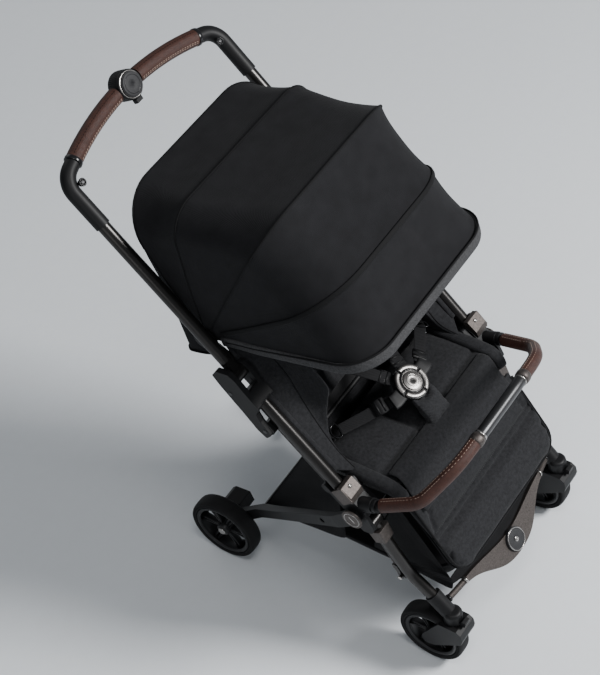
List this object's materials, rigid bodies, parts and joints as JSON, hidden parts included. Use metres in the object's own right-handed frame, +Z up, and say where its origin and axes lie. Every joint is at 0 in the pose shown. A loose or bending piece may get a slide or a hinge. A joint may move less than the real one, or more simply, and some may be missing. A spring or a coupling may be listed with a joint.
{
  "type": "baby stroller",
  "caption": "Compact folding travel stroller with a one-hand fold handle, swivelling front wheels, folding canopy, reclining seat and lift-off bumper bar.",
  "frame": {"origin": "on the floor, at the middle of the overall length and width", "axes": "+Z up, the stroller's front faces -Y, +X is the left side for someone pushing it"},
  "size_m": [0.526, 0.8295, 1.0822],
  "materials": {
    "frame_tube": "dark anodised satin",
    "black_plastic": "fine moulded grain",
    "accent_metal": "satin warm grey",
    "leather": "grained, stitched",
    "gloss_black": "gloss",
    "steel": "brushed",
    "canopy_fabric": "matt woven",
    "seat_fabric": "heather woven",
    "webbing": "woven webbing",
    "basket_fabric": "matt woven",
    "tyre": "foam rubber",
    "rim": "moulded",
    "bow_plastic": "moulded",
    "buckle_metal": "brushed",
    "badge": "textured"
  },
  "bodies": {
    "seat_frame": {"seat_tube_left": "frame_tube", "seat_tube_right": "frame_tube", "fold_housings": "black_plastic", "mid_housings": "black_plastic", "mid_joint_trims": "accent_metal", "seat_pan": "black_plastic", "seat_pad": "seat_fabric", "rear_bow": "bow_plastic", "crotch_pad": "seat_fabric", "buckle_body": "gloss_black", "hip_straps": "webbing", "basket": "basket_fabric"},
    "buckle_button": {"buckle_button": "buckle_metal"},
    "handle": {"handle_tube_left": "frame_tube", "handle_tube_right": "frame_tube", "handle_corners": "black_plastic", "grip_covers": "leather", "fold_hub": "black_plastic"},
    "fold_button": {"fold_button": "badge"},
    "lock_tab": {"lock_tab": "black_plastic"},
    "fold_rods": {"fold_rods": "frame_tube"},
    "rear_legs": {"rear_leg_left": "black_plastic", "rear_leg_right": "black_plastic", "rear_axle": "frame_tube"},
    "brake_pedal": {"brake_pedal": "black_plastic"},
    "rear_wheel_left": {"rear_rim_left": "rim", "rear_tyre_left": "tyre"},
    "rear_wheel_right": {"rear_rim_right": "rim", "rear_tyre_right": "tyre"},
    "front_legs": {"front_leg_left": "frame_tube", "front_leg_right": "frame_tube", "leg_collars": "accent_metal", "crossbar": "accent_metal", "medallion": "badge", "caster_knuckles": "black_plastic"},
    "link_rods": {"link_rods": "frame_tube"},
    "swivel_lock_left": {"swivel_tab_left": "black_plastic"},
    "swivel_lock_right": {"swivel_tab_right": "black_plastic"},
    "caster_left": {"fork_left": "black_plastic"},
    "caster_right": {"fork_right": "black_plastic"},
    "front_wheel_left": {"front_rim_left": "rim", "front_tyre_left": "tyre"},
    "front_wheel_right": {"front_rim_right": "rim", "front_tyre_right": "tyre"},
    "bumper_bar": {"bumper_core": "black_plastic", "bumper_grips": "leather", "bumper_sleeve": "steel"},
    "backrest": {"back_board": "black_plastic", "back_pad": "seat_fabric", "shoulder_straps": "webbing"},
    "calf_rest": {"legrest_board": "black_plastic", "legrest_pad": "seat_fabric"},
    "canopy_1": {"canopy_bow_1": "bow_plastic", "canopy_panel_1": "canopy_fabric"},
    "canopy_2": {"canopy_bow_2": "bow_plastic", "canopy_panel_2": "canopy_fabric"},
    "canopy_3": {"canopy_bow_3": "bow_plastic", "canopy_panel_3": "canopy_fabric"},
    "canopy_4": {"canopy_bow_4": "bow_plastic", "canopy_panel_4": "canopy_fabric"}
  },
  "joints": [
    {"name": "handle_fold", "type": "hinge", "parent": "seat_frame", "child": "handle", "pos_m": [0, 0.03536, 0.67163], "axis": [1, 0, 0], "range_deg": [0, 130]},
    {"name": "fold_button_press", "type": "slide", "parent": "handle", "child": "fold_button", "axis": [0, 0.866, -0.5], "range_m": [0, 0.004], "stiffness_N_per_m": 400, "springref_m": -0.002},
    {"name": "lock_tab_slide", "type": "slide", "parent": "handle", "child": "lock_tab", "axis": [1, 0, 0], "range_m": [0, 0.006], "stiffness_N_per_m": 200, "springref_m": -0.002},
    {"name": "fold_rod_slide", "type": "slide", "parent": "seat_frame", "child": "fold_rods", "axis": [0, 0.6807, 0.7325], "range_m": [-0.012, 0]},
    {"name": "rear_leg_fold", "type": "hinge", "parent": "seat_frame", "child": "rear_legs", "pos_m": [0, -0.20199, 0.4089], "axis": [1, 0, 0], "range_deg": [-34, 0], "deforming": ["basket"]},
    {"name": "brake_pedal_lift", "type": "hinge", "parent": "rear_legs", "child": "brake_pedal", "pos_m": [-0.144, 0.17941, 0.0778], "axis": [1, 0, 0], "range_deg": [0, 16]},
    {"name": "rear_wheel_left_spin", "type": "hinge", "parent": "rear_legs", "child": "rear_wheel_left", "pos_m": [0.2046, 0.17941, 0.0778], "axis": [1, 0, 0], "continuous": true},
    {"name": "rear_wheel_right_spin", "type": "hinge", "parent": "rear_legs", "child": "rear_wheel_right", "pos_m": [-0.2046, 0.17941, 0.0778], "axis": [1, 0, 0], "continuous": true},
    {"name": "front_leg_fold", "type": "hinge", "parent": "seat_frame", "child": "front_legs", "pos_m": [0, -0.22609, 0.382], "axis": [1, 0, 0], "range_deg": [0, 16]},
    {"name": "link_rod_turn", "type": "hinge", "parent": "front_legs", "child": "link_rods", "pos_m": [0, -0.27409, 0.231], "axis": [1, 0, 0], "range_deg": [0, 1.8]},
    {"name": "caster_left_swivel", "type": "hinge", "parent": "front_legs", "child": "caster_left", "pos_m": [0.2133, -0.37789, 0.145], "axis": [0, 0, 1], "continuous": true},
    {"name": "front_wheel_left_spin", "type": "hinge", "parent": "caster_left", "child": "front_wheel_left", "pos_m": [0.2133, -0.33089, 0.0714], "axis": [1, 0, 0], "continuous": true},
    {"name": "swivel_lock_left_slide", "type": "slide", "parent": "front_legs", "child": "swivel_lock_left", "axis": [0, 0, 1], "range_m": [0, 0.004]},
    {"name": "caster_right_swivel", "type": "hinge", "parent": "front_legs", "child": "caster_right", "pos_m": [-0.2133, -0.37789, 0.145], "axis": [0, 0, 1], "continuous": true},
    {"name": "front_wheel_right_spin", "type": "hinge", "parent": "caster_right", "child": "front_wheel_right", "pos_m": [-0.2133, -0.33089, 0.0714], "axis": [1, 0, 0], "continuous": true},
    {"name": "swivel_lock_right_slide", "type": "slide", "parent": "front_legs", "child": "swivel_lock_right", "axis": [0, 0, 1], "range_m": [0, 0.004]},
    {"name": "bumper_release", "type": "slide", "parent": "seat_frame", "child": "bumper_bar", "axis": [0, -0.92, 0.392], "range_m": [0, 0.05]},
    {"name": "backrest_recline", "type": "hinge", "parent": "seat_frame", "child": "backrest", "pos_m": [0, -0.04609, 0.448], "axis": [1, 0, 0], "range_deg": [0, 12], "deforming": ["shoulder_straps"]},
    {"name": "calf_rest_tilt", "type": "hinge", "parent": "seat_frame", "child": "calf_rest", "pos_m": [0, -0.26809, 0.43], "axis": [1, 0, 0], "range_deg": [-35, 0]},
    {"name": "buckle_press", "type": "slide", "parent": "seat_frame", "child": "buckle_button", "axis": [0, 0.5, -0.866], "range_m": [0, 0.003], "stiffness_N_per_m": 400, "springref_m": -0.002},
    {"name": "canopy_fold_1", "type": "hinge", "parent": "seat_frame", "child": "canopy_1", "pos_m": [0, 0.11391, 0.71], "axis": [1, 0, 0], "range_deg": [-16.6, 0], "deforming": ["canopy_panel_1"]},
    {"name": "canopy_fold_2", "type": "hinge", "parent": "canopy_1", "child": "canopy_2", "pos_m": [0, 0.11391, 0.71], "axis": [1, 0, 0], "range_deg": [-26.5, 0], "deforming": ["canopy_panel_2"]},
    {"name": "canopy_fold_3", "type": "hinge", "parent": "canopy_2", "child": "canopy_3", "pos_m": [0, 0.11391, 0.71], "axis": [1, 0, 0], "range_deg": [-20.3, 0], "deforming": ["canopy_panel_3"]},
    {"name": "canopy_fold_4", "type": "hinge", "parent": "canopy_3", "child": "canopy_4", "pos_m": [0, 0.11391, 0.71], "axis": [1, 0, 0], "range_deg": [-16, 0], "deforming": ["canopy_panel_4"]}
  ],
  "couplings": [
    {"joint": "rear_leg_fold", "follows": "handle_fold", "ratio": -0.26154},
    {"joint": "front_leg_fold", "follows": "handle_fold", "ratio": 0.12308},
    {"joint": "link_rod_turn", "follows": "handle_fold", "ratio": 0.013846},
    {"joint": "fold_rod_slide", "follows": "handle_fold", "m_per_rad": -0.0052888},
    {"joint": "canopy_fold_1", "follows": "canopy_fold_2", "ratio": 0.62642},
    {"joint": "canopy_fold_3", "follows": "canopy_fold_2", "ratio": 0.76604},
    {"joint": "canopy_fold_4", "follows": "canopy_fold_2", "ratio": 0.60377}
  ]
}
